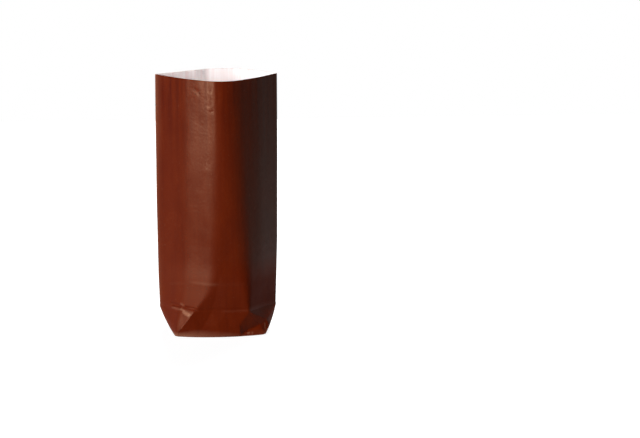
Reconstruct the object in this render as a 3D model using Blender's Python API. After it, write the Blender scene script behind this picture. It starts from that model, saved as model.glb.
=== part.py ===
# Cross-bottom paper bag, standing open: one folded and pasted sheet.
# Metres, +Z up, front of the bag towards -Y, origin in the middle of the bottom.
# A wall is laid out by two lengths along the paper: across, from its middle line,
# and up, from the bottom's long fold.

import bmesh
import bpy
import numpy as np
from mathutils import Vector

# The bag laid flat
FLAT_WIDTH = 0.120         # from side crease to side crease
WALL_LENGTH = 0.214        # from the bottom's fold up to the rim
BOTTOM_BREADTH = 0.045     # between the bottom's two long folds
SEAM_WIDTH = 0.010         # lengthwise seam down the middle of the back
PAPER = 0.0001             # one layer

# The bag as it stands open
MOUTH_CHORD = 0.0966       # between the side creases at the rim
FOOT_SPREAD = 0.0104       # how far each side crease's foot stands out past the bottom
FRONT_FACET = 0.0225       # half width of the front's flat facet at the cross crease
BACK_FACET = 0.0260        # the same on the back, where nothing creases the wall
BACK_MERGE = 0.065         # length up the paper at which the back's two ridges have met
CROWN = 0.0075             # half width of the crown that the ridges run into
CORNER_BEND = 0.0008       # half width of a ridge's bend at the bottom's corner
MERGE_BEND = 0.009         # the same where the ridges have met
MOUTH_BEND = 0.022         # the same at the rim

# How finely the walls are divided
CROWN_COLUMNS = 5
SIDE_COLUMNS = 6
FOOT_ROWS = 4
CREASE_ROWS = 3
UPPER_ROWS = 9
ARC_STEPS = 400
SOLVE_STEPS = 50
SAME_POINT = 7             # decimals of a metre to which shared corners agree
FACING = 0.5               # least cosine between a face's normal and the way it looks

# Patches of the sheet
PLAIN, SEAM, FRONT_FLAP, BACK_FLAP = range(4)

# Its colours
BROWN = (0.13, 0.03, 0.008)
WHITE = (0.86, 0.83, 0.82)
WHITE_SLOT = 1
PAPER_ROUGHNESS = 0.6
SHARP_ANGLE = np.radians(25)

# Lengths that follow
half_width = FLAT_WIDTH / 2
half_breadth = BOTTOM_BREADTH / 2
half_length = half_width - half_breadth
flap_tip = half_length - half_breadth
foot_height = np.sqrt(half_breadth**2 - FOOT_SPREAD**2)
crease_length = WALL_LENGTH - half_breadth
crease_lean = (MOUTH_CHORD / 2 - half_length - FOOT_SPREAD) / crease_length

# The front's ridges meet at the line that the folded bottom's edge pressed into it
front_merge = BOTTOM_BREADTH

# A flap is double, because the corner of the tube's end is folded in with it
flap_thickness = 2 * PAPER
fold_level = 2 * flap_thickness


def row_end(up):
    """End of a wall's row: its length from the middle line, then its x, y and height."""
    if up < half_breadth:
        share = up / half_breadth
        x = half_length + FOOT_SPREAD * share
        return half_length + up, x, half_breadth * (1 - share), foot_height * share
    rise = up - half_breadth
    x = half_length + FOOT_SPREAD + crease_lean * rise
    return half_width, x, 0.0, foot_height + rise * np.sqrt(1 - crease_lean**2)


def bend_share(across, ridge, bend):
    """Share of a row's turn that is made at a distance from the middle, by its two ridges."""
    near = np.clip((across - ridge) / bend, -1, 1)
    far = np.clip((across + ridge) / bend, -1, 1)
    return (np.sin(np.pi / 2 * near) + np.sin(np.pi / 2 * far)) / 2


class Row:
    """A level line of a wall, bent so that it keeps its length and ends on its crease."""

    def __init__(self, up, facet, merge):
        heights = [0, half_breadth, merge, WALL_LENGTH]
        halfway_bend = (CORNER_BEND + MERGE_BEND) / 2
        bends = [CORNER_BEND, halfway_bend, MERGE_BEND, MOUTH_BEND]
        self.up = up
        self.ridge = np.interp(up, heights, [half_length, facet, CROWN, CROWN])
        self.length, end_x, end_y, self.end_z = row_end(up)
        step = self.length / ARC_STEPS
        self.across = np.linspace(0, self.length, ARC_STEPS + 1)
        share = bend_share(self.across[1:] - step / 2, self.ridge, np.interp(up, heights, bends))
        low, high = 0.0, np.pi / 2
        for _ in range(SOLVE_STEPS):
            turn = (low + high) / 2
            if np.cos(turn * share).sum() * step > end_x:
                low = turn
            else:
                high = turn
        fall = np.append(0, np.cumsum(np.sin(turn * share)) * step)
        self.x = np.append(0, np.cumsum(np.cos(turn * share)) * step)
        self.y = end_y + fall[-1] - fall
        self.middle_z = 0.0

    def point(self, across, side):
        """Place on the outer face; side is -1 on the front wall and 1 on the back wall."""
        away = min(abs(across), self.length)
        past = max(away - self.ridge, 0) / max(self.length - self.ridge, PAPER)
        return Vector((
            np.copysign(np.interp(away, self.across, self.x), across),
            side * np.interp(away, self.across, self.y),
            fold_level + self.middle_z + (self.end_z - self.middle_z) * past,
        ))

    def columns(self):
        """Distances from the middle of the mesh lines on one half of the row."""
        crown = np.linspace(SEAM_WIDTH / 2, self.ridge, CROWN_COLUMNS)
        side = np.linspace(self.ridge, self.length, SIDE_COLUMNS + 1)
        return [0.0, *crown, *side[1:]]


def wall_rows(facet, merge):
    """Rows of one wall, from the bottom's fold to the rim."""
    foot = np.linspace(0, half_breadth, FOOT_ROWS + 1)
    crease = np.linspace(half_breadth, BOTTOM_BREADTH, CREASE_ROWS + 1)[1:]
    shares = (np.arange(1, UPPER_ROWS + 1) / UPPER_ROWS) ** 1.5
    upper = BOTTOM_BREADTH + (WALL_LENGTH - BOTTOM_BREADTH) * shares
    rows = [Row(up, facet, merge) for up in (*foot, *crease, *upper)]
    for below, row in zip(rows, rows[1:]):
        slope_run = (row.up - below.up) ** 2 - (row.y[0] - below.y[0]) ** 2
        row.middle_z = below.middle_z + np.sqrt(slope_run)
    return rows


class Sheet:
    """The outer face of the paper, with each shared corner made once."""

    def __init__(self):
        self.mesh = bmesh.new()
        self.patch = self.mesh.faces.layers.int.new("patch")
        self.corners = {}

    def corner(self, point):
        key = tuple(round(value, SAME_POINT) + 0.0 for value in point)
        if key not in self.corners:
            self.corners[key] = self.mesh.verts.new(point)
        return self.corners[key]

    def face(self, points, patch=PLAIN):
        """A face through the points, where corners that coincide count once."""
        corners = list(dict.fromkeys(self.corner(point) for point in points))
        if len(corners) > 2:
            self.mesh.faces.new(corners)[self.patch] = patch

    def patch_faces(self, patches, direction):
        """Faces of the patches that look along the direction."""
        self.mesh.normal_update()
        faces = [face for face in self.mesh.faces if face[self.patch] in patches]
        return [face for face in faces if face.normal.dot(direction) > FACING]


def add_wall(sheet, rows, side):
    for below, above in zip(rows, rows[1:]):
        lower, upper = below.columns(), above.columns()
        for half in (-1, 1):
            for i in range(len(lower) - 1):
                corners = [(below, lower[i]), (below, lower[i + 1])]
                corners += [(above, upper[i + 1]), (above, upper[i])]
                points = [row.point(half * across, side) for row, across in corners]
                in_seam = side == 1 and i == 0
                sheet.face(points, SEAM if in_seam else PLAIN)


def add_end(sheet, front, back, half):
    """The triangle that stands up at one end of the bottom, creased down its middle."""
    foot = Vector((half * half_length, 0, fold_level))
    for rows, side in ((front, -1), (back, 1)):
        edge = [row.point(half * row.length, side) for row in rows if row.up <= half_breadth]
        sheet.face([*edge, foot])


def add_bottom(sheet, front, back, half):
    """One half of the bottom, split along the outlines of the flaps that lie on it."""
    middle = Vector((0, 0, fold_level))
    meeting = Vector((half * flap_tip, 0, fold_level))
    foot = Vector((half * half_length, 0, fold_level))
    for rows, side, patch in ((front, -1, FRONT_FLAP), (back, 1, BACK_FLAP)):
        fold = [rows[0].point(half * across, side) for across in rows[0].columns()]
        tip = Vector((0, side * flap_tip, fold_level))
        sheet.face([*fold, meeting, tip], patch)
        sheet.face([meeting, middle, tip], BACK_FLAP)
        sheet.face([fold[-1], foot, meeting])


def thicken(mesh):
    """Add the inner face of the paper and the cut edge along the rim."""
    bmesh.ops.recalc_face_normals(mesh, faces=mesh.faces)
    mesh.normal_update()
    rim = [edge for edge in mesh.edges if edge.is_boundary]
    shifts = {vert: vert.normal * vert.calc_shell_factor() * PAPER for vert in mesh.verts}
    outer = [*mesh.verts, *mesh.edges, *mesh.faces]
    copied = bmesh.ops.duplicate(mesh, geom=outer)
    inner = copied["vert_map"]
    for vert, shift in shifts.items():
        inner[vert].co -= shift
    inner_faces = [item for item in copied["geom"] if isinstance(item, bmesh.types.BMFace)]
    bmesh.ops.reverse_faces(mesh, faces=inner_faces)
    cut_edge = []
    for edge in rim:
        first, second = edge.verts
        cut_edge.append(mesh.faces.new([first, second, inner[second], inner[first]]))
    for face in (*inner_faces, *cut_edge):
        face.material_index = WHITE_SLOT
    bmesh.ops.recalc_face_normals(mesh, faces=mesh.faces)


def lift(mesh, faces, shift_of):
    """Give some faces another layer, whose corners move as shift_of says."""
    normals = {tuple(vert.co): vert.normal.copy() for vert in mesh.verts}
    grown = bmesh.ops.extrude_face_region(mesh, geom=faces)["geom"]
    bmesh.ops.delete(mesh, geom=faces, context="FACES")
    for vert in grown:
        if isinstance(vert, bmesh.types.BMVert):
            vert.co += shift_of(vert.co, normals[tuple(vert.co)])
    bmesh.ops.remove_doubles(mesh, verts=mesh.verts, dist=10**-SAME_POINT)


def fold_flaps(sheet):
    """Lay the front flap on the bottom, then the back flap over it."""
    down = Vector((0, 0, -1))

    def lay(place, normal):
        """Both long folds end up on the table: the front flap slopes up from its fold."""
        on_front_fold = place.y < -half_breadth + PAPER
        return down * (fold_level if on_front_fold else flap_thickness)

    for patches in ((FRONT_FLAP, BACK_FLAP), (BACK_FLAP,)):
        lift(sheet.mesh, sheet.patch_faces(patches, down), lay)


def lap_seam(sheet):
    """Double the paper along the seam: each of its two edges shows on one face only."""

    def slide(toward):
        def shift(place, normal):
            share = (1 + toward * np.sign(round(place.x, SAME_POINT))) / 2
            return Vector((normal.x, normal.y, 0)).normalized() * PAPER * share
        return shift

    for face_side in (1, -1):
        faces = sheet.patch_faces((SEAM,), Vector((0, face_side, 0)))
        lift(sheet.mesh, faces, slide(face_side))


def material(name, color):
    made = bpy.data.materials.new(name)
    made.use_nodes = True
    shader = made.node_tree.nodes["Principled BSDF"]
    shader.inputs["Base Color"].default_value = (*color, 1)
    shader.inputs["Roughness"].default_value = PAPER_ROUGHNESS
    shader.inputs["Metallic"].default_value = 0.0
    return made


def paper_bag():
    front = wall_rows(FRONT_FACET, front_merge)
    back = wall_rows(BACK_FACET, BACK_MERGE)
    sheet = Sheet()
    add_wall(sheet, front, -1)
    add_wall(sheet, back, 1)
    for half in (-1, 1):
        add_end(sheet, front, back, half)
        add_bottom(sheet, front, back, half)
    thicken(sheet.mesh)
    fold_flaps(sheet)
    lap_seam(sheet)
    sheet.mesh.faces.layers.int.remove(sheet.patch)
    mesh = bpy.data.meshes.new("paper_bag")
    sheet.mesh.to_mesh(mesh)
    sheet.mesh.free()
    mesh.materials.append(material("brown_outside", BROWN))
    mesh.materials.append(material("white_inside", WHITE))
    mesh.shade_smooth()
    mesh.set_sharp_from_angle(angle=SHARP_ANGLE)
    bag = bpy.data.objects.new("paper_bag", mesh)
    bpy.context.scene.collection.objects.link(bag)
    return bag


for thing in list(bpy.data.objects):
    bpy.data.objects.remove(thing)
paper_bag()
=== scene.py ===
import math

import bpy
import numpy as np
from mathutils import Matrix, Vector
from mathutils.geometry import delaunay_2d_cdt


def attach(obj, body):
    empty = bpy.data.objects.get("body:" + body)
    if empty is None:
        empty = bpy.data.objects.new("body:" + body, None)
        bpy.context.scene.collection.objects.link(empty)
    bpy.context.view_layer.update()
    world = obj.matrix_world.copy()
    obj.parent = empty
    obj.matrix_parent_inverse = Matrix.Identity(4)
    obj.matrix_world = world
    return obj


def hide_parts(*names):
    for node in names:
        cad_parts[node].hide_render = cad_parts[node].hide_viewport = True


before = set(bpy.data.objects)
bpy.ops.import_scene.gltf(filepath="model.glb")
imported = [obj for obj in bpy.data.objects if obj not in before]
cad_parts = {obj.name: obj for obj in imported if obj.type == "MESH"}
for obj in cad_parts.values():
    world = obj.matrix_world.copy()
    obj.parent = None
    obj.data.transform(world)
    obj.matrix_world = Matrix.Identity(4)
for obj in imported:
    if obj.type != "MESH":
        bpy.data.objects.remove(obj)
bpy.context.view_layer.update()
mm = 0.001
tiny = 1e-9                     # keeps a division clear of zero
print("frame loaded")

# The bag is one sheet. A place on a wall is given in millimetres along the paper:
# across from the wall's middle line, and up from the bottom's long fold.
sheet = {
    "flatWidth": 120.0,
    "wallLength": 214.0,
    "bottomBreadth": 45.0,
    "seamWidth": 10.0,
    "footSpread": 10.4,       # how far the side creases' feet stand out
    "rimLevel": 213.5,
    "rimDip": 1.4,
    "paper": 0.1,
    "flap": 0.2,              # a bottom flap is folded double
    "softReach": 2.6,         # the bottom's fold is softened this far from it
    "softShare": 0.7,         # and less on the bottom
    "sharpFold": 16,          # degrees
    "gridStep": 1.25,         # mesh on the bottom
    "sideColumns": 32,
    "footRows": 26,
    "creaseRows": 26,
    "upperRows": 62,
    "mouthRows": 32,
    "mouthDepth": 40.0,       # finer rows below the rim
    "rowSamples": 1001,       # points along a row while it is bent
    "turnHalvings": 45,       # steps that find a row's turn
    "blurTaps": 9,            # rows above and below that a row's ridges are blended from
    "blurReach": 14.0,
}
halfWidth = sheet["flatWidth"] / 2
halfBreadth = sheet["bottomBreadth"] / 2
halfLength = halfWidth - halfBreadth
flapTip = halfLength - halfBreadth
footHeight = math.sqrt(halfBreadth**2 - sheet["footSpread"] ** 2)
creaseLength = sheet["wallLength"] - halfBreadth
bottomLevel = 2 * sheet["flap"]

# The side creases: half the distance between them, and how far its middle stands to the right
sideCreases = {
    "up":         [0,    22.5,  50,    78,    112,   146,   180,   214],
    "halfChord":  [37.5, 48.1,  48.8,  49.15, 49.2,  49.1,  48.95, 48.65],
    "sway":       [0,    -0.95, -0.85, -0.50, -0.45, -0.20, -0.05, 0.15],
}

# A wall turns at soft ridges that start from the bottom's corners: where each ridge is at
# some heights, how wide it bends, and its share of the row's whole turn
frontFolds = {
    "up":         [0,     22.5,  45,    78,   125,   180,  214],
    "outerPlace": [-37.5, -34,   -30,   -33,  -31,   -29,  -29],
    "outerBend":  [0.8,   3,     6,     9,    11,    11,   11],
    "outerShare": [0.14,  0.17,  0.15,  0.14, 0.14,  0.13, 0.12],
    "leftPlace":  [-37.5, -21,   -7,    -4.5, -2,    -1,   -2.5],
    "leftBend":   [0.2,   0.5,   7,     10,   13,    13,   13],
    "leftShare":  [0.36,  0.34,  0.28,  0.29, 0.31,  0.34, 0.37],
    "rightPlace": [37.5,  24.5,  21.5,  18,   15,    12,   10.5],
    "rightBend":  [0.3,   1.5,   8,     12,   12,    12,   12],
    "rightShare": [0.50,  0.53,  0.55,  0.50, 0.47,  0.43, 0.41],
    "farPlace":   [37.5,  40,    38,    37,   36,    35,   35],
    "farBend":    [0.8,   4,     6,     8,    8,     8,    8],
    "leftGuide":  [-37.5, -21,   -21,   -21,  -21,   -21,  -21],
    "rightGuide": [37.5,  24.5,  24.5,  24.5, 24.5,  24.5, 24.5],
}
backFolds = {
    "up":         [0,     22.5, 45,   65,   130,  214],
    "outerPlace": [-37.5, -33,  -30,  -30,  -30,  -30],
    "outerBend":  [0.8,   6,    10,   14,   14,   14],
    "outerShare": [0.06,  0.06, 0.06, 0.06, 0.05, 0.04],
    "leftPlace":  [-37.5, -26,  -17,  -11,  -8.5, -7.9],
    "leftBend":   [0.8,   4,    6,    7,    5,    3],
    "leftShare":  [0.46,  0.42, 0.40, 0.38, 0.38, 0.38],
    "rightPlace": [37.5,  26,   22,   19,   17.5, 16.8],
    "rightBend":  [0.8,   4,    7,    9,    9,    8],
    "rightShare": [0.48,  0.52, 0.54, 0.56, 0.57, 0.58],
    "farPlace":   [37.5,  40,   40,   40,   40,   40],
    "farBend":    [0.8,   4,    6,    8,    8,    8],
    "leftGuide":  [-37.5, -26,  -22,  -20,  -20,  -20],
    "rightGuide": [37.5,  26,   24,   22,   20,   20],
}


def rowEnd(up):
    # half the row's length, then its end's place on the crease
    endX = np.interp(up, sideCreases["up"], sideCreases["halfChord"])
    if up < halfBreadth:
        share = up / halfBreadth
        return halfLength + up, endX, halfBreadth * (1 - share), footHeight * share
    return halfWidth, endX, 0.0, footHeight + up - halfBreadth


def turned(across, at, ridge):
    turn = np.clip((across - at[ridge + "Place"]) / at[ridge + "Bend"], -1, 1)
    return (1 + np.sin(np.pi / 2 * turn)) / 2


def bentRow(up, folds):
    # a level line of a wall: it keeps its length and ends on both creases
    reach = np.clip((up - halfBreadth) / 2, 0, sheet["blurReach"])
    blur = np.linspace(-1, 1, sheet["blurTaps"]) * reach
    at = {name: np.interp(up + blur, folds["up"], values).mean() for name, values in folds.items()}
    length, endX, endY, endZ = rowEnd(up)
    across = np.linspace(-length, length, sheet["rowSamples"])
    step = across[1] - across[0]
    middles = across[1:] - step / 2
    at["farShare"] = 1 - at["outerShare"] - at["leftShare"] - at["rightShare"]
    ridges = ("outer", "left", "right", "far")
    share = sum(at[ridge + "Share"] * turned(middles, at, ridge) for ridge in ridges)
    low, high = 0.0, math.pi
    for _ in range(sheet["turnHalvings"]):
        turn = (low + high) / 2
        run = np.exp(-1j * turn * share) * step
        if abs(run.sum()) > 2 * endX:
            low = turn
        else:
            high = turn
    run *= abs(run.sum()) / run.sum()
    place = np.append(0, np.cumsum(run)) - endX
    sway = np.interp(up, sideCreases["up"], sideCreases["sway"])
    return at, across, place.real + sway, endY + place.imag, endZ


def rowHeights():
    mouthStart = sheet["wallLength"] - sheet["mouthDepth"]
    foot = np.linspace(0, halfBreadth, sheet["footRows"] + 1)
    crease = np.linspace(halfBreadth, sheet["bottomBreadth"], sheet["creaseRows"] + 1)[1:]
    upper = np.linspace(sheet["bottomBreadth"], mouthStart, sheet["upperRows"] + 1)[1:]
    mouth = np.linspace(mouthStart, sheet["wallLength"], sheet["mouthRows"] + 1)[1:]
    return np.concatenate((foot, crease, upper, mouth))


def columnPlaces(at, length, seam):
    # mesh columns follow the ridges up to the cross crease, and the seam on the back
    middleColumns = round(2 * halfLength / sheet["gridStep"])
    left = np.linspace(-length, at["leftGuide"], sheet["sideColumns"] + 1)[:-1]
    right = np.linspace(at["rightGuide"], length, sheet["sideColumns"] + 1)[1:]
    if not seam:
        middle = np.linspace(at["leftGuide"], at["rightGuide"], middleColumns + 1)
        return np.concatenate((left, middle, right))
    seamColumns = round(seam / sheet["gridStep"])
    beside = (middleColumns - seamColumns) // 2
    return np.concatenate((
        left,
        np.linspace(at["leftGuide"], -seam / 2, beside + 1)[:-1],
        np.linspace(-seam / 2, seam / 2, seamColumns + 1),
        np.linspace(seam / 2, at["rightGuide"], beside + 1)[1:],
        right,
    ))


def wallGrid(folds, side, seam):
    # places, and across and up for each of them
    places, acrossRows, upRows = [], [], []
    middleZ, before = 0.0, None
    for up in rowHeights():
        at, across, x, y, endZ = bentRow(up, folds)
        columns = columnPlaces(at, across[-1], seam)
        middleY = np.interp(0, across, y)
        if before:
            middleZ += math.sqrt((up - before[0]) ** 2 - (middleY - before[1]) ** 2)
        before = (up, middleY)
        leftPart = (at["leftGuide"] - columns) / (across[-1] + at["leftGuide"] + tiny)
        rightPart = (columns - at["rightGuide"]) / (across[-1] - at["rightGuide"] + tiny)
        past = np.clip(np.where(columns < 0, leftPart, rightPart), 0, 1)
        z = middleZ + (endZ - middleZ) * past + bottomLevel
        x, y = np.interp(columns, across, x), side * np.interp(columns, across, y)
        places.append(np.stack((x, y, z), axis=1))
        acrossRows.append(columns)
        upRows.append(np.full_like(columns, up))
    places, acrossRows, upRows = np.array(places), np.array(acrossRows), np.array(upRows)
    # the mouth was cut straight across the flat tube, so the rim is nearly level
    share = np.clip((upRows - halfBreadth) / creaseLength, 0, 1)
    rim = sheet["rimLevel"] + sheet["rimDip"] * (places[-1, :, 0] / halfWidth) ** 2
    places[..., 2] += (rim - places[-1, :, 2]) * share
    return places, acrossRows, upRows


def gridNormals(places, side):
    # outward normals from the neighbours, for a wall's grid
    alongRow = np.gradient(places, axis=1)
    alongUp = np.gradient(places, axis=0)
    normals = np.cross(alongRow, alongUp) * (-side)
    lengths = np.linalg.norm(normals, axis=2, keepdims=True)
    return normals / np.maximum(lengths, tiny)


# Lines that folding and handling pressed into the front: from, to, height, half width, and
# how pale the paper is painted there: rubbed-off dye, or painted highlights where marked
frontLines = [
    (-21, 24.6, 26, 24.4, -0.35, 1.8, 0),        # cross crease
    (2, 23.2, 26, 23.4, 0, 1.2, 0.10),
    (-33.5, 26.0, -18, 25.3, -0.90, 1.7, 0),
    # the print's pale lines are painted highlights along it
    (-48, 43.3, -27, 46.2, 0.06, 1.4, 0.05),     # print of the folded bottom's edge
    (-27, 46.4, -2, 47.6, 0.10, 1.3, 0.26),
    (-2, 47.6, 22, 47.4, 0.03, 1.4, 0.03),
    # the crinkle's pale lines are painted highlights on its ridges
    (-44.5, 23.9, -32.5, 24.0, 0.30, 1.2, 0.45),    # crinkle where ridge and crease meet
    (-34.0, 24.6, -29.5, 23.0, 0.20, 1.2, 0.9),
    (-30.8, 22.5, -24.6, 19.9, 0.50, 2.0, 2.6),
    (-34.6, 29.0, -30.6, 26.8, 0.35, 1.3, 0.60),
    (22.6, 2.2, 24.4, 2.2, 0, 1.1, 0.90),        # painted highlights at the right corner, no height
    (26.0, 2.2, 27.6, 2.2, 0, 1.0, 0.90),
    (39.2, 9.5, 37.9, 4.0, 0, 1.0, 0.70),
    (-46.0, 26.4, -33.0, 26.4, -1.15, 1.8, 0),
]

# The lap's cut edge shows as a pale line down the back
seamLines = [
    (5.0, 4.0, 5.0, 120.0, 0, 0.6, 0.26),
    (5.0, 90.0, 5.0, 214.0, 0, 0.6, 0.26),
]

# How far the front's foot stands off its plain folded shape: across, up, then right, back, up
footNet = [
    (-37.5, 0, 0, 0, 0), (-20, 0, 0, 0, 0), (0, 0, 0, 0, 0), (16.5, 0, 0, 0, 0), (37.5, 0, 0, 0, 0),
    (-21, 22.5, 0, 0, 0), (-6, 22.5, 0, 0.5, 0), (6, 22.5, 0, -0.3, 0),
    (-14, 9, 0, 0.9, 0), (-2, 11, 0, -0.4, 0), (8, 12, 0, -0.3, 0),
    (16.3, 11, 0, -0.8, 0), (20, 3, 0, 2.2, 0), (24.5, 22.5, 0, 0, 0), (32.7, 8.35, 0, 5.2, 0),
    (42.5, 12.5, 0, -1.8, 0), (44, 6.5, 0, 0, 0), (52, 14.5, 0, 0, 0), (60, 22.5, 0, 0, 0),
    (-60, 22.5, 0, 0, 0), (-52, 14.5, 0, 0, 0), (-44, 6.5, 0, 0, 0), (-34, 22.5, 0, 0, 0),
    (-40, 12, -0.3, -0.2, 0),
    (-60, 60, 0, 0, 0), (60, 60, 0, 0, 0), (-30, 60, 0, 0, 0), (30, 60, 0, 0, 0), (0, 60, 0, 0, 0),
]
footFolds = [
    ((16.5, 0), (16.3, 11)), ((16.3, 11), (24.5, 22.5)), ((24.5, 22.5), (42.5, 12.5)),
    ((24.5, 22.5), (32.7, 8.35)), ((32.7, 8.35), (37.5, 0)), ((16.3, 11), (20, 3)),
    ((16.5, 0), (20, 3)), ((20, 3), (32.7, 8.35)), ((32.7, 8.35), (42.5, 12.5)),
    ((20, 3), (37.5, 0)), ((42.5, 12.5), (60, 22.5)),
]

# Small dents and rubs by the mouth, given as the lines are
mouthLines = [
    (-22.6, 206.2, -18.0, 205.6, -0.13, 1.4, 0),
    (-18.2, 206.0, -15.2, 201.4, -0.10, 1.4, 0),
    (-18.0, 204.0, -18.2, 197.6, 0.04, 2.2, 0.10),
    (-15.6, 213.5, -15.4, 207.0, 0.02, 2.4, 0.08),
    (-6.6, 213.5, -6.6, 206.8, 0.03, 1.6, 0.12),
    (-8.6, 204.0, -4.6, 203.7, 0.09, 1.5, 0.36),
    (-7.4, 201.9, -4.2, 201.5, 0.05, 1.3, 0.15),
    (-1.8, 204.2, 1.4, 203.8, -0.13, 1.5, 0),
    (-0.6, 201.6, -0.2, 200.2, -0.09, 1.5, 0),
    (-1.2, 198.0, 0.8, 197.6, -0.13, 1.4, 0),
    (-11.0, 200.2, -9.6, 199.2, -0.11, 1.4, 0),
    (-9.4, 192.4, -5.4, 191.4, 0.06, 1.5, 0.18),
    (-6.8, 190.2, -3.8, 189.8, -0.13, 1.4, 0),
    (-27.5, 196.0, -26.0, 199.0, -0.08, 1.8, 0),
    (-14.5, 181.5, -12.0, 180.5, 0.05, 1.5, 0.10),
]

# Wide soft dents: across, up, half sizes, depth
frontDents = [
    (-11.0, 188.0, 4.5, 6.0, 0.08),
    (-16.0, 181.0, 5.0, 7.0, -0.07),
    (-24.5, 172.0, 5.0, 8.0, 0.05),
    (-11.0, 141.0, 3.0, 1.6, 0.07),
    (-8.0, 150.0, 3.5, 6.0, -0.06),
    (-19.0, 122.0, 3.0, 2.2, 0.05),
    (-13.0, 96.0, 6.0, 5.0, -0.05),
    (-9.0, 84.0, 3.0, 4.0, 0.04),
    (-20.0, 70.0, 3.0, 2.4, -0.05),
]

# How lines, dents and waves stand out from the walls, in millimetres
relief = {
    "sideFade": 5.0,          # nothing moves on the side creases and the slanted folds
    "footFade": 2.5,          # nor on the bottom's fold
    "lineRise": 5.0,          # a line is weaker at its ends
    "lineEnd": 0.35,
    "waves": 9,               # soft upright waves below the rim
    "waveHeight": 0.05,
    "waveLength": (4.5, 20),
    "waveLean": 0.04,
    "waveFall": 0.8,          # long waves are higher than short ones
    "waveReach": 18,          # how far down they show
    "reachByLength": 2.4,
    "frontSeed": 11,
    "backSeed": 23,
}


def near(distance, reach):
    # 1 at the place itself, 0 from the reach on
    return np.clip(1 - distance / reach, 0, 1)


def pressed(across, up, lines):
    # height and rubbing of the lines
    height, rubAndHighlight = np.zeros_like(across), np.zeros_like(across)
    for startAcross, startUp, endAcross, endUp, rise, width, paleShare in lines:
        runAcross, runUp = endAcross - startAcross, endUp - startUp
        along = (across - startAcross) * runAcross + (up - startUp) * runUp
        along /= runAcross**2 + runUp**2
        nearest = np.clip(along, 0, 1)
        away = np.hypot(across - startAcross - nearest * runAcross, up - startUp - nearest * runUp)
        fromEnd = np.minimum(along, 1 - along)
        fade = np.clip(fromEnd * relief["lineRise"] + relief["lineEnd"], 0, 1)
        height += rise * fade * near(away, width)
        rubAndHighlight += paleShare * fade * near(away, width)
    return height, rubAndHighlight


def dented(across, up, dents):
    height = np.zeros_like(across)
    for dentAcross, dentUp, wide, tall, rise in dents:
        height += rise * np.exp(-((across - dentAcross) / wide) ** 2 - ((up - dentUp) / tall) ** 2)
    return height


def netOffset(across, up, net, netFolds):
    # the net's triangles are flat facets of the foot
    slack = 1e-6
    corners = [Vector(point[:2]) for point in net]
    order = {point[:2]: place for place, point in enumerate(net)}
    edges = [(order[start], order[end]) for start, end in netFolds]
    found = delaunay_2d_cdt(corners, edges, [], 0, slack)
    source = [ids[0] for ids in found[3]]
    offset = np.zeros(across.shape + (3,))
    for triangle in found[2]:
        a, b, c = (net[source[corner]] for corner in triangle)
        area = (b[0] - a[0]) * (c[1] - a[1]) - (c[0] - a[0]) * (b[1] - a[1])
        second = ((across - a[0]) * (c[1] - a[1]) - (c[0] - a[0]) * (up - a[1])) / area
        third = ((b[0] - a[0]) * (up - a[1]) - (across - a[0]) * (b[1] - a[1])) / area
        inside = (second >= -slack) & (third >= -slack) & (second + third <= 1 + slack)
        for axis in range(3):
            fromA, fromB, fromC = a[axis + 2], b[axis + 2], c[axis + 2]
            value = fromA + second * (fromB - fromA) + third * (fromC - fromA)
            offset[..., axis] = np.where(inside, value, offset[..., axis])
    return offset


def fluted(across, up, seed):
    # upright waves that fade on the way down
    random = np.random.default_rng(seed)
    waves = np.zeros_like(across)
    fromRim = sheet["wallLength"] - up
    longest = relief["waveLength"][1]
    for _ in range(relief["waves"]):
        length = random.uniform(*relief["waveLength"])
        lean = random.uniform(-relief["waveLean"], relief["waveLean"])
        start = random.uniform(0, 2 * np.pi)
        wave = np.sin((across + lean * fromRim) * 2 * np.pi / length + start)
        reach = relief["waveReach"] + relief["reachByLength"] * length
        waves += wave * (length / longest) ** relief["waveFall"] * np.exp(-fromRim / reach)
    return waves * relief["waveHeight"]


def shapeWall(folds, side, seam, lines, dents, net, seed):
    places, across, up = wallGrid(folds, side, seam)
    length = np.abs(across[:, :1])
    height, rubAndHighlight = pressed(across, up, lines)
    height += dented(across, up, dents) + fluted(across, up, seed)
    quiet = np.clip((length - np.abs(across)) / relief["sideFade"], 0, 1)
    height *= quiet * np.clip(up / relief["footFade"], 0, 1)
    places += gridNormals(places, side) * height[:, :, None]
    if net:
        places += netOffset(across, up, net, footFolds)
    return places, across, up, rubAndHighlight


# The bottom's front edge bows forward, and its corners lift a little
stance = {
    "bow": 4.0,
    "bowHeight": 22.0,
    "squeeze": 0.016,         # the bowed edge draws the corners in
    "baseShift": 0.55,
    "cornerLift": 0.25,
    "liftFrom": 20.0,         # from the middle
    "liftRun": 18.0,
    "sideBulge": 1.2,         # the walls' outer parts round outwards
    "bulgeFrom": 30.0,
    "bulgeRun": 10.0,
    "endBulge": 0.5,          # and the triangles at the ends
}


def settle(places):
    x, y, z = places[..., 0], places[..., 1], places[..., 2]
    low = near(z, stance["bowHeight"])       # 1 at the foot; 4 * low * (1 - low) is 1 halfway up
    forward = stance["bow"] * np.clip(1 - (x / halfLength) ** 2, 0, 1)
    placed = places.copy()
    placed[..., 0] = placed[..., 0] * (1 - stance["squeeze"] * low) + stance["baseShift"] * low
    outer = np.clip((np.abs(x) - stance["bulgeFrom"]) / stance["bulgeRun"], 0, 1)
    placed[..., 0] += np.sign(x) * stance["sideBulge"] * 4 * low * (1 - low) * outer
    placed[..., 1] -= forward * low * np.clip(-y / halfBreadth, 0, 1)
    corner = np.clip((np.abs(x) - stance["liftFrom"]) / stance["liftRun"], 0, 1) ** 2
    corner *= np.clip(np.abs(y) / halfBreadth, 0, 1)
    placed[..., 2] += stance["cornerLift"] * corner * low
    return placed


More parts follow.
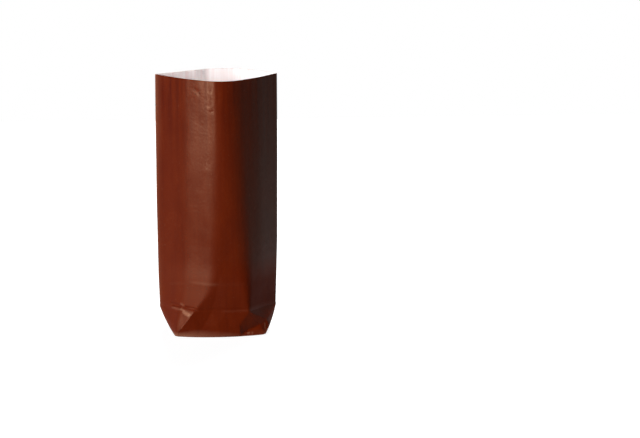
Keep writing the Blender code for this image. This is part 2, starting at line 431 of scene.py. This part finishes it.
class SheetMesh:
    # outer face of the paper: each shared point once, with its place on the flat sheet;
    # that place's third number tells walls, bottom and ends apart, so that they don't look alike

    def __init__(self):
        self.keys, self.points, self.sheetPlaces = {}, [], []
        self.soften, self.wearAndHighlight = [], []
        self.faces, self.flap, self.seam = [], [], []

    def point(self, place, sheetPlace, soften, wearAndHighlight):
        key = tuple(np.round(place, 4) + 0.0)       # adding 0 turns -0 into 0
        if key not in self.keys:
            self.keys[key] = len(self.points)
            self.points.append(place)
            self.sheetPlaces.append(sheetPlace)
            self.soften.append(soften)
            self.wearAndHighlight.append(wearAndHighlight)
        return self.keys[key]

    def face(self, corners, flap=0, seam=False):
        kept = list(dict.fromkeys(corners))
        if len(kept) > 2:
            self.faces.append(kept)
            self.flap.append(flap)
            self.seam.append(seam)


# Pale marks of rubbed-off dye, painted highlights and a painted reflection: reaches in
# millimetres, and shares of the full mark
rubsAndHighlights = {
    # above the bottom's fold: the fold's wear, and a painted reflection of the white floor,
    # strongest on the lit left
    "baseAcross": [-37, -32, -20,  -5,   8,    18,   23,   29,   37],      # above the bottom's fold
    "baseWearAndReflectionReach":  [4.0, 5.0, 7.5,  6.0,  5.0,  3.0,  3.5,  5.5,  4.5],
    "baseWearAndReflectionShare":  [1.4, 1.4, 0.85, 0.52, 0.45, 0.22, 0.10, 0.06, 0.25],
    "edgeReach": 0.8,         # on the side creases
    "besideReach": 3.5,       # fainter beside them
    "besideShare": 0.4,
    "leftHighlightReach": 7.0,         # a painted highlight along the left crease, more towards the mouth
    "leftShare": 0.65,
    "leftHighlightFrom": 100.0,
    "leftHighlightRun": 90.0,
    "leftHighlightLeast": 0.2,
    "sideShare": 0.45,        # for all of the above but the base
    "foldReach": 1.2,         # round the bottom
    "endReach": 0.8,          # on the creases of the end triangles
    "endShare": 0.7,
    "endBaseReach": 1.4,
    "endEdgeShare": 0.8,
}


def addWall(mesh, wall, side, seam):
    places, across, up, rubAndHighlight = wall
    fromSide = np.abs(across[:, :1]) - np.abs(across)
    # rubbed dye on both side creases, and a painted highlight band along the left one that grows
    # towards the mouth
    sideWearAndHighlight = near(fromSide, rubsAndHighlights["edgeReach"])
    sideWearAndHighlight += rubsAndHighlights["besideShare"] * near(fromSide, rubsAndHighlights["besideReach"])
    leftHighlightGrowth = np.clip((up - rubsAndHighlights["leftHighlightFrom"]) / rubsAndHighlights["leftHighlightRun"], rubsAndHighlights["leftHighlightLeast"], 1)
    sideWearAndHighlight += (across < 0) * leftHighlightGrowth * rubsAndHighlights["leftShare"] * near(fromSide, rubsAndHighlights["leftHighlightReach"])
    # above the bottom's fold: the fold's wear and a painted reflection of the floor
    baseWearAndReflectionReach = np.interp(across, rubsAndHighlights["baseAcross"], rubsAndHighlights["baseWearAndReflectionReach"])
    baseWearAndReflectionShare = np.interp(across, rubsAndHighlights["baseAcross"], rubsAndHighlights["baseWearAndReflectionShare"])
    soften = near(up, sheet["softReach"]) * (fromSide > 0.5)      # the side creases stay put
    # one pale mask: rubbed-off dye, painted highlights and a painted reflection
    wearAndHighlight = np.clip(rubsAndHighlights["sideShare"] * sideWearAndHighlight + near(up, baseWearAndReflectionReach) * baseWearAndReflectionShare + rubAndHighlight, 0, 1)
    rows, columns = across.shape
    index = np.empty((rows, columns), int)
    for i in range(rows):
        for j in range(columns):
            index[i, j] = mesh.point(places[i, j], (across[i, j], up[i, j] * side, 0),
                                     soften[i, j], wearAndHighlight[i, j])
    for i in range(rows - 1):
        for j in range(columns - 1):
            corners = [index[i, j], index[i, j + 1], index[i + 1, j + 1], index[i + 1, j]]
            if side > 0:
                corners.reverse()
            middle = (across[i, j] + across[i, j + 1]) / 2
            mesh.face(corners, seam=bool(seam and abs(middle) < seam / 2))


def flapAt(x, y):
    # 2 on the back flap, 1 on the front flap, 0 on the pockets at the ends
    if y > abs(x) - flapTip:
        return 2
    return 1 if y < flapTip - abs(x) else 0


def addBottom(mesh):
    # a square grid, whose diagonals are the flaps' edges
    step, reach = sheet["gridStep"], sheet["softReach"]
    xs = np.linspace(-halfLength, halfLength, round(2 * halfLength / step) + 1)
    ys = np.linspace(-halfBreadth, halfBreadth, round(2 * halfBreadth / step) + 1)
    index = np.empty((len(ys), len(xs)), int)
    for i, y in enumerate(ys):
        for j, x in enumerate(xs):
            place = settle(np.array((x, y, bottomLevel)))
            inward = -max(abs(x) - halfLength, abs(y) - halfBreadth)
            soften = 0.0
            if abs(y) > halfBreadth - reach:
                soften = sheet["softShare"] * float(near(inward, reach))
            wearAndHighlight = float(near(inward, rubsAndHighlights["foldReach"]))
            index[i, j] = mesh.point(place, (x, y, 1), soften, wearAndHighlight)

    for i in range(len(ys) - 1):
        for j in range(len(xs) - 1):
            lowLeft, lowRight = index[i, j], index[i, j + 1]
            upLeft, upRight = index[i + 1, j], index[i + 1, j + 1]
            x, y = (xs[j] + xs[j + 1]) / 2, (ys[i] + ys[i + 1]) / 2
            shift = step / 4
            flaps = {flapAt(x, y + shift), flapAt(x, y - shift),
                     flapAt(x - shift, y), flapAt(x + shift, y)}
            if len(flaps) == 1:
                mesh.face([lowLeft, upLeft, upRight, lowRight], flap=flaps.pop())
                continue
            above, below = flapAt(x - shift, y + shift), flapAt(x + shift, y - shift)
            if above != below:
                mesh.face([lowLeft, upLeft, upRight], flap=above)
                mesh.face([lowLeft, upRight, lowRight], flap=below)
            else:
                mesh.face([upLeft, upRight, lowRight], flap=flapAt(x + shift, y + shift))
                mesh.face([upLeft, lowRight, lowLeft], flap=flapAt(x - shift, y - shift))


def addEnd(mesh, walls, half):
    # the triangle that stands up at one end, creased down its middle
    columns = round(2 * halfBreadth / sheet["gridStep"])
    edgeColumn = 0 if half < 0 else -1
    index = []
    for i in range(sheet["footRows"] + 1):
        front, back = walls[0][0][i, edgeColumn], walls[1][0][i, edgeColumn]
        share = i / sheet["footRows"]
        line = []
        for j in range(columns + 1):
            k = j / columns
            place = front * (1 - k) + back * k
            if 0 < i and 0 < j < columns:
                place[0] += half * stance["endBulge"] * (1 - abs(2 * k - 1)) * (1 - share)
            fromEdge = min(k, 1 - k) * (1 - share) * sheet["bottomBreadth"]
            wearAndHighlight = rubsAndHighlights["endShare"] * near(abs(place[1]), rubsAndHighlights["endReach"])
            wearAndHighlight += rubsAndHighlights["endEdgeShare"] * near(fromEdge, rubsAndHighlights["foldReach"])
            wearAndHighlight += rubsAndHighlights["endEdgeShare"] * near(share * halfBreadth, rubsAndHighlights["endBaseReach"])
            sheetPlace = (place[1], share * halfBreadth, 2 * half)
            line.append(mesh.point(place, sheetPlace, 0.0, min(1.0, float(wearAndHighlight))))
        index.append(line)
    for below, above in zip(index, index[1:]):
        for j in range(columns):
            corners = [below[j], below[j + 1], above[j + 1], above[j]]
            if half < 0:
                corners.reverse()
            mesh.face(corners)


def sheetObject():
    mesh = SheetMesh()
    seam = sheet["seamWidth"]
    front = shapeWall(frontFolds, -1, 0, frontLines + mouthLines, frontDents, footNet,
                      relief["frontSeed"])
    back = shapeWall(backFolds, 1, seam, seamLines, [], [], relief["backSeed"])
    walls = [(settle(front[0]), *front[1:]), (settle(back[0]), *back[1:])]
    addBottom(mesh)
    addWall(mesh, walls[0], -1, 0)
    addWall(mesh, walls[1], 1, seam)
    for half in (-1, 1):
        addEnd(mesh, walls, half)
    data = bpy.data.meshes.new("paperSheet")
    data.from_pydata([tuple(point * mm) for point in np.array(mesh.points)], [], mesh.faces)
    flatPlaces = (np.array(mesh.sheetPlaces) * (mm, mm, 1)).ravel()
    values = {
        "soften": ("FLOAT", "POINT", "value", mesh.soften),
        "wearAndHighlight": ("FLOAT", "POINT", "value", mesh.wearAndHighlight),
        "sheetPlace": ("FLOAT_VECTOR", "POINT", "vector", flatPlaces),
        "flap": ("INT", "FACE", "value", mesh.flap),
        "seam": ("BOOLEAN", "FACE", "value", mesh.seam),
    }
    for name, (kind, domain, field, numbers) in values.items():
        data.attributes.new(name, kind, domain).data.foreach_set(field, numbers)
    data.validate()
    data.update()
    bag = bpy.data.objects.new("paperBag", data)
    bpy.context.scene.collection.objects.link(bag)
    return bag


class NodeMaker:
    # small helpers for any node tree; an input given as None keeps its default

    def __init__(self, tree):
        self.nodes, self.links = tree.nodes, tree.links

    def fill(self, made, inputs):
        for key, value in inputs.items():
            if isinstance(value, bpy.types.NodeSocket):
                self.links.new(value, made.inputs[key])
            elif value is not None:
                made.inputs[key].default_value = value

    def node(self, kind, inputs=None, **settings):
        made = self.nodes.new(kind)
        for key, value in settings.items():
            setattr(made, key, value)
        self.fill(made, inputs or {})
        return made

    def math(self, operation, first, second=0.0):
        return self.node("ShaderNodeMath", {0: first, 1: second}, operation=operation).outputs[0]

    def ramp(self, value, low, high, outLow=0.0, outHigh=1.0):
        return self.node("ShaderNodeMapRange", {
            "Value": value, "From Min": low, "From Max": high, "To Min": outLow, "To Max": outHigh,
        }).outputs[0]


class Shading(NodeMaker):
    # one material's nodes

    def __init__(self, name):
        self.material = bpy.data.materials.new(name)
        self.material.use_nodes = True
        super().__init__(self.material.node_tree)
        self.shader = self.nodes["Principled BSDF"]

    def stretch(self, vector, scale):
        return self.node("ShaderNodeMapping", {"Vector": vector, "Scale": scale}).outputs[0]

    def noise(self, vector, scale, detail=3.0, rough=0.5):
        return self.node("ShaderNodeTexNoise", {
            "Vector": vector, "Scale": scale, "Detail": detail, "Roughness": rough,
        }).outputs["Fac"]

    def mix(self, factor, first, second):
        inputs = {0: factor, 6: first, 7: second}
        return self.node("ShaderNodeMix", inputs, data_type="RGBA").outputs[2]

    def attribute(self, name, output):
        return self.node("ShaderNodeAttribute", attribute_name=name).outputs[output]

    def bump(self, height, distance, strength):
        return self.node("ShaderNodeBump", {
            "Height": height, "Distance": distance, "Strength": strength,
        }).outputs[0]


# Each range is the low and high of a noise, or of the height on the paper in metres, and then
# what they become
brownPaper = {
    "color": (0.124, 0.0092, 0.0003, 1),
    "lightColor": (0.145, 0.0130, 0.0008, 1),
    "darkColor": (0.094, 0.0052, 0.0001, 1),
    # one pale colour for rubbed-off dye and for painted highlights and reflection
    "paleWearAndHighlightColor": (0.400, 0.165, 0.095, 1),
    "cloudStretch": (1, 0.6, 1),
    "cloudScale": 55,
    "streakStretch": (260, 14, 1),
    "grainScale": 1500,
    "fleckScale": 430,
    "clouds": (0.35, 0.68),
    "streaks": (0.45, 0.70),
    "streaksByHeight": (0.15, 0.21, 0.35, 0.95),
    "lightGrain": (0.55, 0.78, 0, 0.35),
    "darkFlecks": (0.66, 0.74, 0, 0.7),
    "wornFlecks": (0.27, 0.33, 0.09, 0),
    "wearAndHighlightGrain": (0.35, 0.65, 0.45, 1.0),
    "roughness": (0.7, 1.3, 0.22, 0.29),
    "dullFoot": (0.03, 0.08, 0.13, 0),
    "handledFrom": (0.021, 0.027),
    "handledTo": (0.046, 0.066, 1, 0),
    "dullHandled": 0.23,
    "specular": 0.12,
    "specularTint": (1, 0.60, 0.37, 1),
    "grainRelief": 0.5,
    "fleckRelief": 0.9,
    "reliefDepth": 0.00011,
    "reliefStrength": 0.55,
}


def brownOutside():
    look = Shading("brownOutside")
    place = look.attribute("sheetPlace", "Vector")
    height = look.math("ABSOLUTE", look.node("ShaderNodeSeparateXYZ", {0: place}).outputs[1])
    stretched = look.stretch(place, brownPaper["cloudStretch"])
    cloud = look.noise(stretched, brownPaper["cloudScale"], 4, 0.6)
    streak = look.noise(look.stretch(place, brownPaper["streakStretch"]), 1.0)
    grain = look.noise(place, brownPaper["grainScale"], 3, 0.65)
    fleck = look.noise(place, brownPaper["fleckScale"], 2)

    streaked = look.math("MULTIPLY", look.ramp(streak, *brownPaper["streaks"]),
                         look.ramp(height, *brownPaper["streaksByHeight"]))
    # the pale mask is rubbed-off dye at creases and folds, and painted highlights and a painted
    # reflection elsewhere
    paleWearAndHighlight = look.math("MULTIPLY", look.attribute("wearAndHighlight", "Fac"),
                     look.ramp(grain, *brownPaper["wearAndHighlightGrain"]))
    color = brownPaper["color"]
    for factor, name in (
        (look.ramp(cloud, *brownPaper["clouds"]), "lightColor"),
        (streaked, "darkColor"),
        (look.ramp(grain, *brownPaper["lightGrain"]), "lightColor"),
        (look.ramp(fleck, *brownPaper["darkFlecks"]), "darkColor"),
        (look.ramp(fleck, *brownPaper["wornFlecks"]), "paleWearAndHighlightColor"),
        (paleWearAndHighlight, "paleWearAndHighlightColor"),
    ):
        color = look.mix(factor, color, brownPaper[name])

    rough = look.ramp(look.math("ADD", cloud, grain), *brownPaper["roughness"])
    rough = look.math("ADD", rough, look.ramp(height, *brownPaper["dullFoot"]))
    handled = look.math("MULTIPLY", look.ramp(height, *brownPaper["handledFrom"]),
                        look.ramp(height, *brownPaper["handledTo"]))
    rough = look.math("ADD", rough, look.math("MULTIPLY", handled, brownPaper["dullHandled"]))
    relief = look.math("ADD", look.math("MULTIPLY", grain, brownPaper["grainRelief"]),
                       look.math("MULTIPLY", fleck, brownPaper["fleckRelief"]))
    look.fill(look.shader, {
        "Base Color": color,
        "Roughness": rough,
        "Specular IOR Level": brownPaper["specular"],
        "Specular Tint": brownPaper["specularTint"],
        "Normal": look.bump(relief, brownPaper["reliefDepth"], brownPaper["reliefStrength"]),
    })
    return look.material


whitePaper = {
    "color": (0.91, 0.875, 0.87, 1),
    # the streaks' pinkish grey is partly the paper's own streaking and partly painted shade, tinted
    # pink like light bounced off the brown walls
    "shade": (0.84, 0.72, 0.71, 1),
    "streakStretch": (300, 10, 1),
    "grainScale": 1300,
    "streaks": (0.42, 0.66, 0, 0.85),
    "grains": (0.58, 0.75, 0, 0.3),
    "roughness": 0.62,
    "specular": 0.06,
    "reliefDepth": 0.00006,
    "reliefStrength": 0.4,
}


def whiteInside():
    look = Shading("whiteInside")
    place = look.attribute("sheetPlace", "Vector")
    streak = look.noise(look.stretch(place, whitePaper["streakStretch"]), 1.0, 3, 0.55)
    grain = look.noise(place, whitePaper["grainScale"], 3, 0.6)
    color = whitePaper["color"]
    for noise, name in ((streak, "streaks"), (grain, "grains")):
        color = look.mix(look.ramp(noise, *whitePaper[name]), color, whitePaper["shade"])
    look.fill(look.shader, {
        "Base Color": color,
        "Roughness": whitePaper["roughness"],
        "Specular IOR Level": whitePaper["specular"],
        "Normal": look.bump(grain, whitePaper["reliefDepth"], whitePaper["reliefStrength"]),
    })
    return look.material


cutPaper = {
    "colors": ((0.42, 0.24, 0.18, 1), (0.62, 0.48, 0.42, 1)),
    "fibreScale": 2500,
    "roughness": 0.8,
    "specular": 0.1,
}


def cutEdge():
    look = Shading("cutEdge")
    fibre = look.noise(look.attribute("sheetPlace", "Vector"), cutPaper["fibreScale"], 2)
    look.fill(look.shader, {
        "Base Color": look.mix(fibre, *cutPaper["colors"]),
        "Roughness": cutPaper["roughness"],
        "Specular IOR Level": cutPaper["specular"],
    })
    return look.material


# Inputs of the tree that turns the folded surface into paper: soft folds, cockles, thickness,
# flaps and seam; sizes in metres
paper = {
    "Paper thickness": sheet["paper"] * mm,
    "Flap thickness": sheet["flap"] * mm,
    "Half width": halfWidth * mm,
    "Fold softness": 2,
    "Cockle height": 0.00022,
    "Cockle size": 26.0,
    "Cockle detail": 2.0,
    "Cockles from": 0.022,      # height on the paper where they start, and where they are full
    "Cockles to": 0.040,
    "Cockle side fade": 0.008,
    "Seed": 7.0,
    "Seam width": sheet["seamWidth"] * mm,
    "Seam from": 0.001,
    "Seam to": 0.006,
    "Merge distance": 0.000002,
}


class PaperTree(NodeMaker):
    # one Geometry Nodes tree and its named inputs

    def __init__(self, name, sizes, materials):
        self.group = bpy.data.node_groups.new(name, "GeometryNodeTree")
        super().__init__(self.group)
        face = self.group.interface
        face.new_socket("Geometry", in_out="INPUT", socket_type="NodeSocketGeometry")
        face.new_socket("Geometry", in_out="OUTPUT", socket_type="NodeSocketGeometry")
        for key, value in sizes.items():
            kind = "NodeSocketInt" if isinstance(value, int) else "NodeSocketFloat"
            face.new_socket(key, in_out="INPUT", socket_type=kind).default_value = value
        for key in materials:
            face.new_socket(key, in_out="INPUT", socket_type="NodeSocketMaterial")
        self.given = self.nodes.new("NodeGroupInput").outputs
        self.result = self.nodes.new("NodeGroupOutput").inputs[0]

    def scaled(self, vector, factor):
        inputs = {0: vector, "Scale": factor}
        return self.node("ShaderNodeVectorMath", inputs, operation="SCALE").outputs[0]

    def both(self, first, second):
        inputs = {0: first, 1: second}
        return self.node("FunctionNodeBooleanMath", inputs, operation="AND").outputs[0]

    def named(self, name, kind):
        inputs = {"Name": name}
        return self.node("GeometryNodeInputNamedAttribute", inputs, data_type=kind).outputs[0]

    def compared(self, name, value, operation="EQUAL"):
        return self.node("FunctionNodeCompare", {2: self.named(name, "INT"), 3: value},
                         data_type="INT", operation=operation).outputs[0]

    def skinned(self, geometry, skin, selection=None):
        return self.node("GeometryNodeStoreNamedAttribute", {
            "Geometry": geometry, "Selection": selection, "Name": "skin", "Value": skin,
        }, data_type="INT", domain="FACE").outputs[0]

    def moved(self, geometry, offset, selection=None):
        return self.node("GeometryNodeSetPosition", {
            "Geometry": geometry, "Selection": selection, "Offset": offset,
        }).outputs[0]

    def extruded(self, geometry, selection=None):
        return self.node("GeometryNodeExtrudeMesh", {
            "Mesh": geometry, "Selection": selection, "Offset Scale": 0.0, "Individual": False,
        }, mode="FACES").outputs

    def merged(self, geometry):
        return self.node("GeometryNodeMergeByDistance", {
            "Geometry": geometry, "Distance": self.given["Merge distance"],
        }).outputs[0]


def paperTree(materials):
    tree = PaperTree("foldedPaper", paper, materials)
    given = tree.given
    thickness = given["Paper thickness"]
    normal = tree.node("GeometryNodeInputNormal").outputs[0]
    place = tree.named("sheetPlace", "FLOAT_VECTOR")
    split = tree.node("ShaderNodeSeparateXYZ", {0: place}).outputs
    upward = tree.math("ABSOLUTE", split[1])

    # soft folds: the places of their points are blurred
    blurred = tree.node("GeometryNodeBlurAttribute", {
        "Iterations": given["Fold softness"], "Weight": tree.named("soften", "FLOAT"),
    }, data_type="FLOAT_VECTOR")
    toBlur, soft = (
        [socket for socket in sockets if socket.type == "VECTOR"][0]
        for sockets in (blurred.inputs, blurred.outputs))
    tree.links.new(tree.node("GeometryNodeInputPosition").outputs[0], toBlur)
    body = tree.node("GeometryNodeSetPosition", {
        "Geometry": given["Geometry"], "Position": soft,
    }).outputs[0]

    # cockles: slight waves of the paper, none on a fold or on the bottom
    noise = tree.node("ShaderNodeTexNoise", {
        "Vector": place, "W": given["Seed"],
        "Scale": given["Cockle size"], "Detail": given["Cockle detail"],
    }, noise_dimensions="4D").outputs[0]
    inside = tree.math("SUBTRACT", given["Half width"], tree.math("ABSOLUTE", split[0]))
    quiet = tree.math("MULTIPLY", tree.ramp(upward, given["Cockles from"], given["Cockles to"]),
                      tree.ramp(inside, 0.0, given["Cockle side fade"]))
    height = tree.math("MULTIPLY", tree.math("SUBTRACT", noise, 0.5), given["Cockle height"])
    body = tree.moved(body, tree.scaled(normal, tree.math("MULTIPLY", height, quiet)))

    # thickness: skin 0 is the brown face, 1 the white face, 2 the cut edge
    outer = tree.skinned(body, 0)
    inner = tree.extruded(body)
    lining = tree.skinned(tree.skinned(inner["Mesh"], 1), 2, inner["Side"])
    inward = tree.scaled(normal, tree.math("MULTIPLY", thickness, -1.0))
    lining = tree.moved(lining, inward, inner["Top"])
    joined = tree.node("GeometryNodeJoinGeometry")
    for part in (tree.node("GeometryNodeFlipFaces", {"Mesh": lining}).outputs[0], outer):
        tree.links.new(part, joined.inputs[0])
    body = tree.merged(joined.outputs[0])

    # the two flaps: the back one lies over the front one
    isOuter = tree.compared("skin", 0)
    down = tree.node("FunctionNodeInputVector", vector=(0, 0, -1)).outputs[0]
    for least in (1, 2):
        onFlap = tree.compared("flap", least, "GREATER_EQUAL")
        layer = tree.extruded(body, tree.both(isOuter, onFlap))
        body = tree.moved(layer["Mesh"], tree.scaled(down, given["Flap thickness"]), layer["Top"])

    # the seam: each of its two edges shows on one face only
    across = tree.math("DIVIDE", split[0], given["Seam width"])
    start = tree.ramp(upward, given["Seam from"], given["Seam to"])
    for skin, slope in ((0, 1.0), (1, -1.0)):
        onSeam = tree.both(tree.compared("skin", skin), tree.named("seam", "BOOLEAN"))
        layer = tree.extruded(body, onSeam)
        share = tree.math("ADD", tree.math("MULTIPLY", across, slope), 0.5)
        lift = tree.math("MULTIPLY", tree.math("MULTIPLY", share, start), thickness)
        body = tree.moved(layer["Mesh"], tree.scaled(normal, lift), layer["Top"])
    body = tree.merged(body)

    body = tree.node("GeometryNodeRealizeInstances", {"Geometry": body}).outputs[0]
    for skin, key in enumerate(materials):
        body = tree.node("GeometryNodeSetMaterial", {
            "Geometry": body, "Selection": tree.compared("skin", skin), "Material": given[key],
        }).outputs[0]
    tree.links.new(body, tree.result)
    return tree.group


def bakeTree(thing, group, values):
    modifier = thing.modifiers.new("paper", "NODES")
    modifier.node_group = group
    for socket in group.interface.items_tree:
        if socket.in_out == "INPUT" and socket.name in values:
            modifier[socket.identifier] = values[socket.name]
    graph = bpy.context.evaluated_depsgraph_get()
    data = bpy.data.meshes.new_from_object(thing.evaluated_get(graph), depsgraph=graph)
    thing.modifiers.clear()
    thing.data = data


print("mixing the three papers")
skins = {"Brown face": brownOutside(), "White face": whiteInside(), "Cut edge": cutEdge()}
print("folding the sheet")
bag = sheetObject()
bakeTree(bag, paperTree(list(skins)), {**paper, **skins})
bag.data.shade_smooth()
bag.data.set_sharp_from_angle(angle=math.radians(sheet["sharpFold"]))
print("paper bag:", len(bag.data.vertices), "points,", len(bag.data.polygons), "faces")
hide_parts("paper_bag")
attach(bag, "root")


studio = {
    "floorSize": 1.8,
    "floorColor": (0.008, 0.008, 0.008, 1),       # for rays that only carry light
    "floorDrop": 0.0002,      # just below the bag
    "shadowShare": 0.20,      # how much of the floor's white a shadow can take
    "floorLevel": 0.35,       # light on the open floor
    "ambient": 0.004,
    "lampDistance": 1.6,
    "lampAim": 0.1,           # height
}


def seenWhite(maker):
    # 1 for the rays that see the surroundings as white
    ray = maker.node("ShaderNodeLightPath").outputs
    seen = maker.math("MAXIMUM", ray["Is Camera Ray"], ray["Is Glossy Ray"])
    return maker.math("MAXIMUM", seen, ray["Is Transmission Ray"])


def studioFloor():
    half, share = studio["floorSize"] / 2, studio["shadowShare"]
    corners = [(-half, -half, 0), (half, -half, 0), (half, half, 0), (-half, half, 0)]
    data = bpy.data.meshes.new("studioFloor")
    data.from_pydata(corners, [], [(0, 1, 2, 3)])
    floor = bpy.data.objects.new("studioFloor", data)
    bpy.context.scene.collection.objects.link(floor)
    floor.location.z = -studio["floorDrop"]
    look = Shading("paleFloor")
    look.nodes.remove(look.shader)
    unseen = look.node("ShaderNodeBsdfDiffuse", {"Color": studio["floorColor"]})
    dimmed = look.node("ShaderNodeBsdfDiffuse", {"Color": (share, share, share, 1)})
    glow = look.node("ShaderNodeEmission", {"Strength": 1 - share * studio["floorLevel"]})
    seen = look.node("ShaderNodeAddShader", {0: dimmed.outputs[0], 1: glow.outputs[0]})
    mixed = look.node("ShaderNodeMixShader", {
        0: seenWhite(look), 1: unseen.outputs[0], 2: seen.outputs[0],
    })
    look.fill(look.nodes["Material Output"], {"Surface": mixed.outputs[0]})
    data.materials.append(look.material)


def studioWorld():
    world = bpy.data.worlds.new("studioWorld")
    bpy.context.scene.world = world
    world.use_nodes = True
    maker = NodeMaker(world.node_tree)
    maker.fill(maker.nodes["Background"], {
        "Color": (1, 1, 1, 1),
        "Strength": maker.ramp(seenWhite(maker), 0.0, 1.0, studio["ambient"], 1.0),
    })


# Azimuth is measured from the front, to the right; sizes in metres. A lamp lights either the
# diffuse part of the paper or its gloss.
lamps = {
    "keyLamp": {
        "azimuth": -43, "elevation": 14, "size": (0.4, 0.4), "power": 23.6, "part": "diffuse"},
    "glossLamp": {
        "azimuth": -47, "elevation": 3, "size": (0.5, 0.4), "power": 59, "part": "gloss"},
    "backLamp": {
        "azimuth": 165, "elevation": 63, "size": (0.6, 0.6), "power": 62, "part": "diffuse"},
    "backGloss": {
        "azimuth": 195, "elevation": 6, "size": (0.5, 0.5), "power": 25, "part": "gloss"},
}


def addLamp(name, lamp):
    data = bpy.data.lights.new(name, "AREA")
    data.shape = "RECTANGLE"
    data.size, data.size_y = lamp["size"]
    data.energy = lamp["power"]
    thing = bpy.data.objects.new(name, data)
    bpy.context.scene.collection.objects.link(thing)
    azimuth, elevation = math.radians(lamp["azimuth"]), math.radians(lamp["elevation"])
    away = Vector((math.sin(azimuth) * math.cos(elevation),
                   -math.cos(azimuth) * math.cos(elevation), math.sin(elevation)))
    aim = Vector((0, 0, studio["lampAim"]))
    thing.location = aim + studio["lampDistance"] * away
    thing.rotation_euler = (aim - thing.location).to_track_quat("-Z", "Y").to_euler()
    thing.visible_diffuse = lamp["part"] == "diffuse"
    thing.visible_glossy = lamp["part"] == "gloss"


# Fitted to the photograph: place and direction in the bag's frame
view = {
    "place": (-0.0125, -1.1627, 0.40495),
    "direction": (0.07996, 0.96265, -0.25868),
    "roll": 0.005,
    "lens": 82.24,
    "sensor": 36,
}


def addCamera():
    data = bpy.data.cameras.new("viewCamera")
    data.sensor_width = view["sensor"]
    data.lens = view["lens"]
    camera = bpy.data.objects.new("viewCamera", data)
    bpy.context.scene.collection.objects.link(camera)
    turn = Vector(view["direction"]).to_track_quat("-Z", "Y").to_matrix()
    turn = turn @ Matrix.Rotation(view["roll"], 3, "Z")
    camera.matrix_world = Matrix.Translation(view["place"]) @ turn.to_4x4()
    bpy.context.scene.camera = camera


print("setting the studio")
studioFloor()
studioWorld()
for name, lamp in lamps.items():
    addLamp(name, lamp)
addCamera()
bpy.context.scene.view_settings.view_transform = "Standard"
